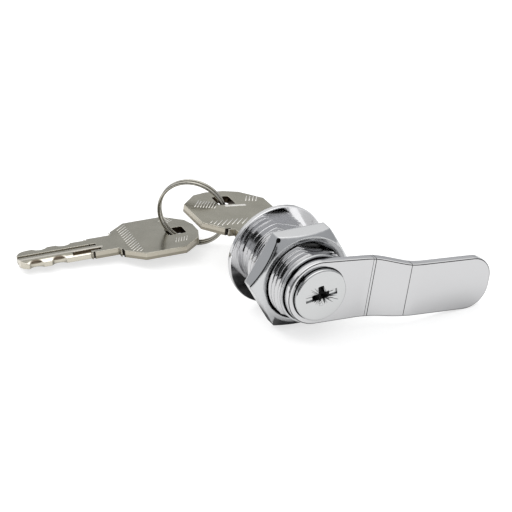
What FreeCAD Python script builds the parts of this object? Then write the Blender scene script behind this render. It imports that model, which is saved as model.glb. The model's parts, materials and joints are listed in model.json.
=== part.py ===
import FreeCAD, Part
import math
import os
import re
import Sketcher
from FreeCAD import Placement, Rotation, Vector

# A quarter-turn cabinet lock in millimetres. The origin is on the lock's axis at the
# flange's seat: +Y points to the key's side, -Y to the cam's side and +Z up. The lock
# lies on the floor on its flange, its nut and the tip of its cam.

doc = FreeCAD.newDocument("cabinet_lock")
sheet = doc.addObject("Spreadsheet::Sheet", "Sizes")

# Driving dimensions.
DRIVING_SIZES = {
    "Housing": {
        "flange_radius": 12.8,
        "flange_thickness": 1.6,
        "flange_edge": 0.35,
        "barrel_length": 17.4,
        "barrel_flats": 16.0,
        "flat_turn": 12.4,
        "crest_radius": 9.5,
        "collar_radius": 9.0,
        "end_chamfer": 0.4,
    },
    "Thread": {
        "thread_start": 2.7,
        "thread_pitch": 1.5,
        "thread_depth": 0.8,
        "crest_land": 0.25,
        "thread_play": 0.2,
    },
    "Nut": {
        "nut_across_flats": 23.4,
        "nut_thickness": 4.7,
        "nut_back": 8.8,
        "nut_chamfer": 1.6,
        "nut_face_radius": 11.2,
        "nut_roll": 3.0,
        "nut_mouth_radius": 10.2,
    },
    "Plug": {
        "plug_radius": 6.0,
        "plug_play": 0.05,
        "head_radius": 7.0,
        "head_thickness": 1.5,
        "head_edge": 0.2,
        "end_play": 0.08,
        "tail_square": 6.4,
        "tail_setback": 0.2,
        "keyway_play": 0.1,
        "keyway_end_gap": 0.5,
    },
    "Wafers": {
        "first_wafer": 1.5,
        "wafer_pitch": 2.0,
        "wafer_thickness": 1.0,
        "wafer_width": 6.0,
        "wafer_play": 0.05,
        "wafer_travel": 0.8,
        "wafer_groove_gap": 0.15,
        "lug_length": 1.0,
        "lug_reach": 1.6,
        "spring_length": 3.0,
        "spring_radius": 0.45,
        "spring_bore": 0.2,
    },
    "Stop washer": {
        "washer_radius": 8.8,
        "washer_thickness": 0.8,
        "square_play": 0.05,
        "ear_width": 2.0,
        "ear_depth": 2.0,
        "ear_length": 1.1,
        "notch_play": 0.15,
        "cam_travel": 90.0,
    },
    "Cam": {
        "cam_thickness": 2.1,
        "cam_hub_radius": 8.1,
        "cam_reach": 45.6,
        "cam_root_width": 15.4,
        "cam_blade_width": 13.8,
        "cam_tip_radius": 5.9,
        "crank_start": 14.2,
        "crank_end": 22.2,
        "crank_step": 3.9,
        "cam_bend_radius": 12.0,
    },
    "Cam screw": {
        "screw_head_radius": 6.6,
        "screw_head_height": 1.26,
        "screw_head_edge": 0.45,
        "screw_radius": 2.0,
        "screw_length": 6.0,
        "screw_play": 0.05,
        "screw_hole_end_gap": 0.5,
        "slot_width": 1.5,
        "slot_length": 8.2,
        "slot_depth": 0.45,
        "cross_width": 1.5,
        "cross_radius": 2.6,
        "cross_bottom_radius": 1.0,
        "cross_depth": 2.2,
        "slot_turn": 13.0,
    },
    "Key": {
        "key_thickness": 1.9,
        "key_insertion": 14.0,
        "blade_length": 19.0,
        "blade_width": 8.2,
        "blade_tip_start": 0.8,
        "blade_tip_width": 3.2,
        "blade_tip_length": 3.2,
        "flank_width": 1.9,
        "flank_drop": 0.7,
        "bitting_radius": 2.2,
        "bitting_depth": 1.1,
        "bitting_pitch": 2.8,
        "blade_groove_width": 1.3,
        "blade_groove_depth": 0.6,
        "blade_groove_offset": 0.4,
        "blade_groove_reach": 21.2,
        "side_groove_width": 1.4,
        "side_groove_depth": 0.7,
        "side_groove_offset": 2.7,
        "side_groove_length": 7.5,
        "side_groove_end": 2.9,
        "neck_width": 9.6,
        "neck_length": 7.1,
        "bow_start_width": 12.6,
        "bow_width": 22.8,
        "bow_length": 21.9,
        "bow_shoulder_length": 5.2,
        "bow_side_length": 10.7,
        "bow_corner_width": 13.0,
        "bow_corner_length": 4.7,
        "bow_top_width": 5.0,
        "nick_width": 0.5,
        "nick_depth": 0.6,
        "hole_width": 4.8,
        "hole_from_end": 5.6,
        "hole_corner": 0.6,
    },
    "Ring": {
        "ring_radius": 8.9,
        "ring_wire": 0.85,
        "ring_gap": 0.42,
        "ring_turns": 1.9,
        "ring_heading": 50.0,
        "ring_eye_shift": -0.1,
    },
    "Spare key": {
        "spare_heading": 7.1,
        "spare_tilt": 0.3,
        "spare_lean": 7.2,
        "spare_eye_shift": 0.8,
    },
}

row = 1
for group, dimensions in DRIVING_SIZES.items():
    sheet.set(f"A{row}", group)
    row += 1
    for alias, value in dimensions.items():
        sheet.set(f"A{row}", alias.replace("_", " "))
        sheet.set(f"B{row}", str(value))
        sheet.setAlias(f"B{row}", alias)
        row += 1
doc.recompute()

WAFERS = 6
BITTINGS_LEFT = (2.6, 4.8)
BITTINGS_RIGHT = (1.7, 3.8)


ALIASES = [alias for dimensions in DRIVING_SIZES.values() for alias in dimensions]
SIZE_NAME = re.compile(r"\b(" + "|".join(ALIASES) + r")\b")


def named(expression):
    """An expression of size names, with each name led by the sheet's own."""
    return SIZE_NAME.sub(r"Sizes.\1", str(expression))


def real(expression):
    """The value of an expression of size names."""
    value = sheet.evalExpression(named(expression))
    return float(getattr(value, "Value", value))


def bind(target, values):
    """Binds each property of target to an expression of sizes."""
    for prop, expression in values.items():
        target.setExpression(prop, named(expression))
    return target


# Solids and booleans whose sizes stay bound to the sheet. A round solid is turned so that
# its own axis lies along the lock's.
AXIS_TURN = Rotation(Vector(1, 0, 0), -90)


def box(name, across, along, up, corner):
    """A box with its sizes in X, Y and Z and its lowest corner."""
    solid = doc.addObject("Part::Box", name)
    bind(solid, {"Length": across, "Width": along, "Height": up})
    bind(solid, dict(zip((".Placement.Base.x", ".Placement.Base.y", ".Placement.Base.z"), corner)))
    return solid


def centred_box(name, across, along, up, middle):
    """A box with its sizes in X, Y and Z about its middle."""
    sizes = (across, along, up)
    corner = [f"({place}) - ({length}) / 2" for place, length in zip(middle, sizes)]
    return box(name, across, along, up, corner)


def disc(name, radius, height, start):
    """A cylinder on the lock's axis that runs from start towards +Y."""
    solid = doc.addObject("Part::Cylinder", name)
    solid.Placement = Placement(Vector(), AXIS_TURN)
    bind(solid, {"Radius": radius, "Height": height, ".Placement.Base.y": start})
    return solid


def cut(name, base, tools):
    """The base less each tool."""
    tool = tools[0] if len(tools) == 1 else fuse(f"{name}_cutters", tools)
    solid = doc.addObject("Part::Cut", name)
    solid.Base = base
    solid.Tool = tool
    return solid


def fuse(name, shapes):
    """The union of the shapes."""
    solid = doc.addObject("Part::MultiFuse", name)
    solid.Shapes = shapes
    solid.Refine = True
    return solid


def common(name, shapes):
    """What the shapes share."""
    solid = doc.addObject("Part::MultiCommon", name)
    solid.Shapes = shapes
    solid.Refine = True
    return solid


def round_edges(name, base, radius, chosen):
    """The base with the edges that chosen picks rounded."""
    doc.recompute()
    solid = doc.addObject("Part::Fillet", name)
    solid.Base = base
    edges = enumerate(base.Shape.Edges, start=1)
    solid.Edges = [(index, real(radius), real(radius)) for index, edge in edges if chosen(edge)]
    return solid


def outline(body, name, plane, points):
    """A closed sketch in a body's own plane, with its corners bound to sizes."""
    sketch = body.newObject("Sketcher::SketchObject", name)
    support = [item for item in body.Origin.OriginFeatures if item.Role == plane]
    sketch.AttachmentSupport = [(support[0], "")]
    sketch.MapMode = "FlatFace"
    corners = [Vector(real(x), real(y), 0) for x, y in points]
    count = len(points)
    for index in range(count):
        following = (index + 1) % count
        sketch.addGeometry(Part.LineSegment(corners[index], corners[following]), False)
    for index in range(count):
        following = (index + 1) % count
        sketch.addConstraint(Sketcher.Constraint("Coincident", index, 2, following, 1))
    for index, (x, y) in enumerate(points):
        for kind, axis, value in (("DistanceX", -2, x), ("DistanceY", -1, y)):
            if str(value) == "0":
                sketch.addConstraint(Sketcher.Constraint("PointOnObject", index, 1, axis))
            else:
                place = Sketcher.Constraint(kind, -1, 1, index, 1, real(value))
                number = sketch.addConstraint(place)
                sketch.setExpression(f"Constraints[{number}]", named(value))
    return sketch


def turned(name, points):
    """A body turned about the lock's axis from (radius, place along Y) corners."""
    body = doc.addObject("PartDesign::Body", name)
    sketch = outline(body, f"{name}_profile", "XY_Plane", points)
    turn = body.newObject("PartDesign::Revolution", f"{name}_turn")
    turn.Profile = sketch
    turn.ReferenceAxis = (sketch, ["V_Axis"])
    turn.Angle = 360.0
    return body


def plate(name, plane, points, thickness):
    """A body padded to both sides of one of its planes."""
    body = doc.addObject("PartDesign::Body", name)
    sketch = outline(body, f"{name}_outline", plane, points)
    pad = body.newObject("PartDesign::Pad", f"{name}_pad")
    pad.Profile = sketch
    pad.SideType = "Symmetric"
    pad.setExpression("Length", named(thickness))
    return body


def finish(solid, label, roll=None):
    """Names a finished sub-part, and rolls it about the lock's axis."""
    solid.Label = label
    if roll is not None:
        solid.Placement = Placement(Vector(), Rotation(Vector(0, 1, 0), roll))
    subparts.append(solid)
    return solid


subparts = []

# The roll that lays the tip of the cam on the floor, under a lock whose flange already
# stands on it: the tip's rounded corner comes down to the flange's radius.
tip_arm = real("cam_reach - cam_tip_radius")
tip_side = real("cam_blade_width / 2 - cam_tip_radius")
tip_drop = real("flange_radius - cam_tip_radius")
ROLL = math.degrees(math.atan2(tip_arm, tip_side) - math.acos(tip_drop / math.hypot(tip_arm, tip_side)))

# Places along the lock's axis.
ROOT_RADIUS = "crest_radius - thread_depth"
BORE_RADIUS = "plug_radius + plug_play"
HEAD_SEAT = "flange_thickness - head_thickness"
PLUG_END = "-barrel_length - end_play"
CAM_BACK = f"{PLUG_END} - washer_thickness"
CAM_FACE = f"{CAM_BACK} - cam_thickness"
KEY_TIP = "-key_insertion + flange_thickness"


def crest_place(index):
    """The place of a thread ridge along the axis."""
    return f"-thread_start - {index} * thread_pitch"


def ridge(index, play):
    """The four corners of one thread ridge, from its cam side to its flange side."""
    crest = crest_place(index)
    foot = f"{ROOT_RADIUS} + {play}"
    top = f"crest_radius + {play}"
    return [
        (foot, f"{crest} - thread_pitch / 2 + crest_land / 2"),
        (top, f"{crest} - crest_land / 2"),
        (top, f"{crest} + crest_land / 2"),
        (foot, f"{crest} + thread_pitch / 2 - crest_land / 2"),
    ]


# Housing: the flange, the threaded barrel with two flats, the bore with the seat for the
# plug's head, four grooves for the wafers and a notch for the washer's ear. The barrel and
# the nut hold as many ridges as fit in their lengths.
thread_length = "barrel_length - end_chamfer - thread_start - thread_pitch / 2"
THREAD_CRESTS = int(real(f"({thread_length}) / thread_pitch")) + 1
last_foot = f"{crest_place(THREAD_CRESTS - 1)} - thread_pitch / 2"
housing_corners = [
    (BORE_RADIUS, "-barrel_length"),
    ("collar_radius - end_chamfer", "-barrel_length"),
    ("collar_radius", "-barrel_length + end_chamfer"),
    ("collar_radius", last_foot),
]
for index in reversed(range(THREAD_CRESTS)):
    housing_corners += ridge(index, 0)
housing_corners += [
    (ROOT_RADIUS, "0"),
    ("flange_radius", "0"),
    ("flange_radius", "flange_thickness - flange_edge"),
    ("flange_radius - flange_edge", "flange_thickness"),
    ("head_radius + plug_play", "flange_thickness"),
    ("head_radius + plug_play", f"{HEAD_SEAT} - plug_play"),
    (BORE_RADIUS, f"{HEAD_SEAT} - plug_play"),
]
housing_turned = turned("housing_turned", housing_corners)
flat_cutters = [
    box(
        f"flat_{side}",
        "4 * crest_radius",
        "2 * barrel_length",
        "crest_radius",
        ("-2 * crest_radius", "-2 * barrel_length", place),
    )
    for side, place in (
        ("upper", "barrel_flats / 2"),
        ("lower", "-barrel_flats / 2 - crest_radius"),
    )
]
flats = fuse("flats", flat_cutters)
flats.Placement = Placement(Vector(), Rotation(Vector(0, 1, 0), real("flat_turn")))
groove_reach = f"2 * ({BORE_RADIUS} + wafer_travel + wafer_groove_gap)"
groove_width = "wafer_width + 4 * wafer_play"
groove_length = f"first_wafer + {WAFERS} * wafer_pitch"
groove_middle = f"-0.25 * wafer_pitch - ({groove_length}) / 2"
wafer_grooves = [
    centred_box("groove_across", groove_reach, groove_length, groove_width, ("0", groove_middle, "0")),
    centred_box("groove_upright", groove_width, groove_length, groove_reach, ("0", groove_middle, "0")),
]
ear_reach = "asin((ear_width / 2 + notch_play) / (washer_radius - ear_depth))"
stop_notch = disc("stop_notch", "2 * crest_radius", "ear_length + notch_play", "-barrel_length")
bind(stop_notch, {"Angle": f"cam_travel * 1 deg + 2 * {ear_reach}"})
stop_notch.Placement.Rotation = Rotation(Vector(0, 1, 0), -real(ear_reach)) * AXIS_TURN
housing = cut("housing_cut", housing_turned, [flats, stop_notch] + wafer_grooves)
finish(housing, "housing", ROLL)

# Hex nut: it runs in place on the barrel's ridges, with play all round.
nut_front = "-nut_back - nut_thickness"
NUT_CORNER = "nut_across_flats / sqrt(3)"
nut_corners = [(f"2 * {NUT_CORNER}", "-nut_back"), ("crest_radius + thread_play", "-nut_back")]
for index in range(THREAD_CRESTS):
    in_back = real(f"{crest_place(index)} + thread_pitch / 2 + nut_back") < 0
    in_front = real(f"{crest_place(index)} - thread_pitch - ({nut_front})") > 0
    if in_back and in_front:
        nut_corners += ridge(index, "thread_play")[::-1]
nut_corners += [
    ("nut_mouth_radius", nut_front),
    ("nut_face_radius", nut_front),
    (f"2 * {NUT_CORNER} - nut_face_radius", f"{nut_front} + 2 * nut_chamfer"),
    (f"2 * {NUT_CORNER}", f"{nut_front} + 2 * nut_chamfer"),
]
nut_turned = turned("nut_turned", nut_corners)
nut_hex = doc.addObject("Part::Prism", "nut_hex")
nut_hex.Polygon = 6
nut_hex.Placement = Placement(Vector(), AXIS_TURN)
bind(
    nut_hex,
    {
        "Circumradius": NUT_CORNER,
        "Height": "nut_thickness",
        ".Placement.Base.y": nut_front,
    },
)
hex_nut = common("nut_common", [nut_turned, nut_hex])
finish(hex_nut, "hex_nut", real("nut_roll"))

# Plug: a flush head, a body slotted for the wafers and their springs, the keyway, and a
# square tail with the hole for the cam's screw.
plug_turned = turned(
    "plug_turned",
    [
        ("0", "flange_thickness"),
        ("head_radius - head_edge", "flange_thickness"),
        ("head_radius", "flange_thickness - head_edge"),
        ("head_radius", HEAD_SEAT),
        ("plug_radius", HEAD_SEAT),
        ("plug_radius", PLUG_END),
        ("0", PLUG_END),
    ],
)
tail_length = "washer_thickness + cam_thickness - tail_setback"
tail = centred_box(
    "tail",
    "tail_square",
    tail_length,
    "tail_square",
    ("0", f"{PLUG_END} - ({tail_length}) / 2", "0"),
)
keyway_length = "key_insertion + keyway_end_gap"
keyway = centred_box(
    "keyway",
    "blade_width + 2 * keyway_play",
    keyway_length,
    "key_thickness + 2 * keyway_play",
    ("0", f"flange_thickness - ({keyway_length}) / 2", "0"),
)
screw_hole_length = "screw_length + screw_hole_end_gap"
screw_hole = disc("screw_hole", "screw_radius + screw_play", screw_hole_length, CAM_FACE)


def wafer_place(index):
    """The middle of a wafer along the axis, counted from the flange."""
    return f"-first_wafer - {index} * wafer_pitch"


SLOT_THICKNESS = "wafer_thickness + 2 * wafer_play"
LUG_MIDDLE = "wafer_width / 2 + lug_reach / 2"
POCKET_LENGTH = "spring_length + lug_length + wafer_travel + 4 * wafer_play"
POCKET_START = "-lug_length / 2 - spring_length - 2 * wafer_play"
wafer_slots = []
for index in range(WAFERS):
    wafer_slots.append(
        centred_box(
            f"wafer_slot_{index + 1}",
            "3 * plug_radius",
            SLOT_THICKNESS,
            "wafer_width + 2 * wafer_play",
            ("0", wafer_place(index), "0"),
        )
    )
    wafer_slots.append(
        centred_box(
            f"spring_pocket_{index + 1}",
            POCKET_LENGTH,
            SLOT_THICKNESS,
            "lug_reach + 2 * wafer_play",
            (f"{POCKET_START} + ({POCKET_LENGTH}) / 2", wafer_place(index), LUG_MIDDLE),
        )
    )
plug = cut(
    "plug_cut",
    fuse("plug_blank", [plug_turned, tail]),
    [keyway, screw_hole] + wafer_slots,
)
finish(plug, "plug", ROLL)


# Wafers: flat plates with a window for the blade and a side lug for a spring.
def wafer(index):
    """One wafer in its slot, with its ends inside the plug's circle."""
    number = index + 1
    place = wafer_place(index)
    blank = disc(
        f"wafer_disc_{number}",
        "plug_radius - wafer_play",
        "wafer_thickness",
        f"{place} - wafer_thickness / 2",
    )
    strip = centred_box(
        f"wafer_strip_{number}",
        "2 * plug_radius",
        "wafer_thickness",
        "wafer_width",
        ("0", place, "0"),
    )
    lug = centred_box(
        f"wafer_lug_{number}",
        "lug_length",
        "wafer_thickness",
        "lug_reach",
        ("0", place, "wafer_width / 2 + lug_reach / 2"),
    )
    window = box(
        f"wafer_window_{number}",
        "blade_width + wafer_travel + 6 * wafer_play",
        "2 * wafer_thickness",
        "key_thickness + 6 * wafer_play",
        (
            "-blade_width / 2 - wafer_travel - 3 * wafer_play",
            f"{place} - wafer_thickness",
            "-key_thickness / 2 - 3 * wafer_play",
        ),
    )
    shape = common(f"wafer_plate_{number}", [blank, strip])
    return cut(f"wafer_cut_{number}", fuse(f"wafer_blank_{number}", [shape, lug]), [window])


def wafer_spring(index):
    """One wafer's spring, between the end of its pocket and the wafer's lug."""
    number = index + 1
    coil = []
    for name, radius in (("coil", "spring_radius"), ("bore", "spring_bore")):
        tube = doc.addObject("Part::Cylinder", f"spring_{name}_{number}")
        tube.Placement = Placement(Vector(), Rotation(Vector(0, 1, 0), 90))
        bind(
            tube,
            {
                "Radius": radius,
                "Height": "spring_length",
                ".Placement.Base.x": "-lug_length / 2 - spring_length - wafer_play",
                ".Placement.Base.y": wafer_place(index),
                ".Placement.Base.z": LUG_MIDDLE,
            },
        )
        coil.append(tube)
    return cut(f"spring_cut_{number}", coil[0], coil[1:])


for index in range(WAFERS):
    finish(wafer(index), f"wafer_{index + 1}", ROLL)
    finish(wafer_spring(index), f"wafer_spring_{index + 1}", ROLL)

# Stop washer: it turns with the plug's square tail, and its ear runs in the notch.
washer_disc = disc("washer_disc", "washer_radius", "washer_thickness", CAM_BACK)
ear_height = "-washer_radius + ear_depth / 2 + end_chamfer / 2"
washer_ear = centred_box(
    "washer_ear",
    "ear_width",
    "ear_length + washer_thickness",
    "ear_depth",
    ("0", f"{CAM_BACK} + (ear_length + washer_thickness) / 2", ear_height),
)
washer_hole = centred_box(
    "washer_hole",
    "tail_square + 2 * square_play",
    "4 * washer_thickness",
    "tail_square + 2 * square_play",
    ("0", CAM_BACK, "0"),
)
stop_washer = cut("washer_cut", fuse("washer_blank", [washer_disc, washer_ear]), [washer_hole])
finish(stop_washer, "stop_washer", ROLL)

# Cam: a cranked plate. Its face's outline and its side's bends are shared solids.
cam_depth = "4 * (crank_step + cam_thickness)"
arm_end = "cam_reach - cam_tip_radius"
tip_half = "cam_blade_width / 2 - cam_tip_radius"
cam_arm = plate(
    "cam_arm",
    "XZ_Plane",
    [
        ("0", "cam_hub_radius"),
        ("0", "-cam_hub_radius"),
        ("crank_start", "-cam_root_width / 2"),
        ("crank_end", "-cam_blade_width / 2"),
        (arm_end, "-cam_blade_width / 2"),
        (arm_end, "cam_blade_width / 2"),
        ("crank_end", "cam_blade_width / 2"),
        ("crank_start", "cam_root_width / 2"),
    ],
    f"2 * (barrel_length + {cam_depth})",
)
cam_hub = disc("cam_hub", "cam_hub_radius", cam_depth, f"{CAM_FACE} - {cam_depth} / 2")
cam_tip = centred_box(
    "cam_tip",
    "2 * cam_tip_radius",
    cam_depth,
    f"2 * ({tip_half})",
    (arm_end, CAM_FACE, "0"),
)
tip_corners = []
for side, sign in (("upper", ""), ("lower", "-")):
    corner = disc(f"cam_corner_{side}", "cam_tip_radius", cam_depth, f"{CAM_FACE} - {cam_depth} / 2")
    bind(corner, {".Placement.Base.x": arm_end, ".Placement.Base.z": f"{sign}({tip_half})"})
    tip_corners.append(corner)
cam_face_outline = fuse("cam_face_outline", [cam_arm, cam_hub, cam_tip] + tip_corners)
cam_side = plate(
    "cam_side",
    "XY_Plane",
    [
        ("-2 * cam_hub_radius", CAM_FACE),
        ("crank_start", CAM_FACE),
        ("crank_end", f"{CAM_FACE} - crank_step"),
        ("2 * cam_reach", f"{CAM_FACE} - crank_step"),
        ("2 * cam_reach", f"{CAM_BACK} - crank_step"),
        ("crank_end + cam_thickness / 2", f"{CAM_BACK} - crank_step"),
        ("crank_start + cam_thickness / 2", CAM_BACK),
        ("-2 * cam_hub_radius", CAM_BACK),
    ],
    "4 * cam_root_width",
)


def is_bend(edge):
    """Whether an edge is one of the four bends across the arm."""
    across = abs(edge.tangentAt(edge.FirstParameter).z) > 0.99
    middle = edge.CenterOfMass.x
    return across and real("crank_start") - 1 < middle < real("crank_end") + 2


cam_hole = centred_box(
    "cam_hole",
    "tail_square + 2 * square_play",
    "4 * cam_thickness",
    "tail_square + 2 * square_play",
    ("0", CAM_BACK, "0"),
)
cam_bends = round_edges("cam_bends", cam_side, "cam_bend_radius", is_bend)
cam_plate = common("cam_plate", [cam_face_outline, cam_bends])
cam = cut("cam_cut", cam_plate, [cam_hole])
finish(cam, "cam", ROLL)

# Cam screw: a low round head with a slot across a cross recess.
screw_front = f"{CAM_FACE} - screw_head_height"
screw_head = disc("screw_head", "screw_head_radius", "screw_head_height", screw_front)
screw_shank = disc("screw_shank", "screw_radius", "screw_length", CAM_FACE)
head_rounded = round_edges(
    "screw_head_rounded",
    screw_head,
    "screw_head_edge",
    lambda edge: edge.Closed and edge.CenterOfMass.y < real(screw_front) + 0.1,
)
screw_slot = centred_box(
    "screw_slot", "slot_length", "2 * slot_depth", "slot_width", ("0", screw_front, "0")
)
cross_wings = [
    centred_box(f"cross_wing_{name}", across, "2 * cross_depth", up, ("0", screw_front, "0"))
    for name, across, up in (
        ("long", "3 * cross_radius", "cross_width"),
        ("short", "cross_width", "3 * cross_radius"),
    )
]
cross_cone = doc.addObject("Part::Cone", "cross_cone")
cross_cone.Placement = Placement(Vector(), AXIS_TURN)
bind(
    cross_cone,
    {
        "Radius1": "cross_radius",
        "Radius2": "cross_bottom_radius",
        "Height": "cross_depth",
        ".Placement.Base.y": screw_front,
    },
)
cross_recess = common("cross_recess", [fuse("cross_wings", cross_wings), cross_cone])
recess = fuse("recess", [cross_recess, screw_slot])
recess.Placement = Placement(Vector(), Rotation(Vector(0, 1, 0), -real("slot_turn")))
cam_screw = cut("screw_cut", fuse("screw_blank", [head_rounded, screw_shank]), [recess])
finish(cam_screw, "cam_screw", ROLL)


# Keys: a flat bow with cut corners and a square eye, a neck with a nick at each end, and
# a blade with a round tip and scooped bittings. Each face has a long groove, a sloped flank
# along one side and a short groove that runs out in the neck.
COLLAR = "blade_length"
BOW_START = f"{COLLAR} + neck_length"
BOW_END = f"{BOW_START} + bow_length"
SIDE_START = f"{BOW_START} + bow_shoulder_length"
SIDE_END = f"{SIDE_START} + bow_side_length"


def is_upright(edge):
    """Whether an edge runs along Z."""
    return abs(edge.tangentAt(edge.FirstParameter).z) > 0.9


def key(prefix):
    """One key, with its blade along Y and its bow at the far end."""
    half = [
        ("blade_tip_width / 2", "blade_tip_start"),
        ("0.38 * blade_width", "blade_tip_start + 0.25 * blade_tip_length"),
        ("0.47 * blade_width", "blade_tip_start + 0.6 * blade_tip_length"),
        ("blade_width / 2", "blade_tip_start + blade_tip_length"),
        ("blade_width / 2", COLLAR),
        ("neck_width / 2", COLLAR),
        ("neck_width / 2", BOW_START),
        ("bow_start_width / 2", BOW_START),
        ("bow_width / 2", SIDE_START),
        ("bow_width / 2", SIDE_END),
        ("bow_corner_width / 2", f"{BOW_END} - bow_corner_length / 4"),
        ("bow_top_width / 2", BOW_END),
    ]
    other = [(f"-{x}", y) for x, y in reversed(half)]
    blank = plate(f"{prefix}_blank", "XY_Plane", half + other, "key_thickness")
    eye = centred_box(
        f"{prefix}_eye",
        "hole_width",
        "hole_width",
        "3 * key_thickness",
        ("0", f"{BOW_END} - hole_from_end", "0"),
    )
    cutters = [round_edges(f"{prefix}_eye_rounded", eye, "hole_corner", is_upright)]
    for name, sign, places in (("left", "-", BITTINGS_LEFT), ("right", "", BITTINGS_RIGHT)):
        for number, place in enumerate(places, start=1):
            scoop = doc.addObject("Part::Cylinder", f"{prefix}_bitting_{name}_{number}")
            bind(
                scoop,
                {
                    "Radius": "bitting_radius",
                    "Height": "3 * key_thickness",
                    ".Placement.Base.x": f"{sign}(blade_width / 2 + bitting_radius - bitting_depth)",
                    ".Placement.Base.y": f"{place} * bitting_pitch",
                    ".Placement.Base.z": "-1.5 * key_thickness",
                },
            )
            cutters.append(scoop)
    for name, side, other_side in (("upper", "", "-"), ("lower", "-", "")):
        cutters.append(
            centred_box(
                f"{prefix}_groove_{name}",
                "blade_groove_width",
                "2 * blade_groove_reach",
                "2 * blade_groove_depth",
                (f"{other_side}blade_groove_offset", "0", f"{side}key_thickness / 2"),
            )
        )
        cutters.append(
            centred_box(
                f"{prefix}_side_groove_{name}",
                "side_groove_width",
                "side_groove_length",
                "2 * side_groove_depth",
                (
                    f"{side}side_groove_offset",
                    f"{COLLAR} + side_groove_end - side_groove_length / 2",
                    f"{side}key_thickness / 2",
                ),
            )
        )
        inner = f"{side}(blade_width / 2 - flank_width)"
        outer = f"{side}(blade_width / 2 + flank_width)"
        cutters.append(
            plate(
                f"{prefix}_flank_{name}",
                "XZ_Plane",
                [
                    (inner, f"{side}key_thickness / 2"),
                    (outer, f"{side}(key_thickness / 2 - 2 * flank_drop)"),
                    (outer, f"{side}key_thickness"),
                    (inner, f"{side}key_thickness"),
                ],
                "2 * blade_length",
            )
        )
    for name, x, y in (
        ("collar_left", "-neck_width / 2", COLLAR),
        ("collar_right", "neck_width / 2", COLLAR),
        ("bow_left", "-bow_start_width / 2", BOW_START),
        ("bow_right", "bow_start_width / 2", BOW_START),
    ):
        cutters.append(
            centred_box(
                f"{prefix}_nick_{name}",
                "2 * nick_depth",
                "nick_width",
                "3 * key_thickness",
                (x, f"{y} + nick_width", "0"),
            )
        )
    return cut(f"{prefix}_cut", blank, cutters)


lock_key = key("lock_key")
finish(lock_key, "lock_key")
turn = Rotation(Vector(0, 1, 0), ROLL)
lock_key.Placement = Placement(Vector(0, real(KEY_TIP), 0), turn)

# Split ring: one unbroken wire wound twice round. It hangs through the eyes of both
# keys in an upright plane and touches the floor.
ring_radius = real("ring_radius")
ring_wire = real("ring_wire")
ring_pitch = ring_wire + real("ring_gap")
heading = math.radians(real("ring_heading"))
ring_axis = Vector(math.cos(heading), math.sin(heading), 0)
ring_side = Vector(math.sin(heading), -math.cos(heading), 0)
up = Vector(0, 0, 1)
eye_place = lock_key.Placement.multVec(Vector(0, real(f"{BOW_END} - hole_from_end"), 0))
ring_height = -real("flange_radius") + ring_radius + ring_wire / 2
eye_reach = math.sqrt(ring_radius**2 - (eye_place.z - ring_height) ** 2)
ring_centre = eye_place - ring_side * (eye_reach + real("ring_eye_shift"))
ring_centre.z = ring_height


def ring_point(turns):
    """A point of the wire's middle line, and its direction, after some turns."""
    angle = 2 * math.pi * turns
    lift = ring_pitch * (turns - real("ring_turns") / 2)
    place = ring_side * math.cos(angle) * ring_radius + up * math.sin(angle) * ring_radius
    along = ring_side * -math.sin(angle) * ring_radius + up * math.cos(angle) * ring_radius
    along = along + ring_axis * (ring_pitch / (2 * math.pi))
    return ring_centre + place + ring_axis * lift, along.normalize()


def biarc(start, start_way, end, end_way):
    """Two arcs that leave start and reach end in the given directions."""
    chord = end - start
    ways = start_way + end_way
    a = 2 * (1 - start_way.dot(end_way))
    b = 2 * chord.dot(ways)
    reach = (-b + math.sqrt(b * b + 4 * a * chord.dot(chord))) / (2 * a)
    first = start + start_way * reach
    second = end - end_way * reach
    joint = (first + second) * 0.5
    edges = []
    for near, corner, far in ((start, first, joint), (joint, second, end)):
        middle = (near + far) * 0.5
        outward = corner - middle
        half = (far - near).Length / 2
        bulge = half * math.tan(math.atan2(outward.Length, half) / 2)
        edges.append(Part.Arc(near, middle + outward.normalize() * bulge, far).toShape())
    return edges


steps = 8
stops = [ring_point(real("ring_turns") * index / steps) for index in range(steps + 1)]
path = []
for (start, start_way), (end, end_way) in zip(stops, stops[1:]):
    path += biarc(start, start_way, end, end_way)
ring_path = Part.Wire(path)
ring_section = Part.Wire(Part.Circle(stops[0][0], stops[0][1], ring_wire / 2).toShape())
key_ring = doc.addObject("Part::Feature", "key_ring_wire")
key_ring.Shape = ring_path.makePipeShell([ring_section], True, False)
finish(key_ring, "key_ring")
samples = [ring_point(index / 360)[0] for index in range(int(real("ring_turns") * 360))]
ring_least_gap = min(
    (samples[far] - samples[near]).Length
    for near in range(0, len(samples) - 270, 5)
    for far in range(near + 270, len(samples), 5)
)
print(f"split ring: least gap to itself {ring_least_gap - ring_wire:.2f} mm")

# Spare key: its blade lies on the floor, its eye on the ring and its bow on the ring's
# lowest wire, leaning to one side.
spare_key = key("spare_key")
finish(spare_key, "spare_key")
lean = Rotation(Vector(0, 1, 0), -real("spare_lean"))
tilt = Rotation(Vector(1, 0, 0), real("spare_tilt"))
swing = Rotation(Vector(0, 0, 1), -90 - real("spare_heading"))
spare_turn = swing * tilt * lean
spare_eye = Vector(0, real(f"{BOW_END} - hole_from_end"), 0)
doc.recompute()
lowest = min(spare_turn.multVec(vertex.Point).z for vertex in spare_key.Shape.Vertexes)
eye_offset = spare_turn.multVec(spare_eye)
spare_height = -real("flange_radius") - lowest
eye_height = spare_height + eye_offset.z
spare_reach = math.sqrt(ring_radius**2 - (eye_height - ring_height) ** 2)
spare_middle = ring_centre + ring_side * (real("spare_eye_shift") - spare_reach)
spare_key.Placement = Placement(
    Vector(spare_middle.x - eye_offset.x, spare_middle.y - eye_offset.y, spare_height), spare_turn
)

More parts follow.
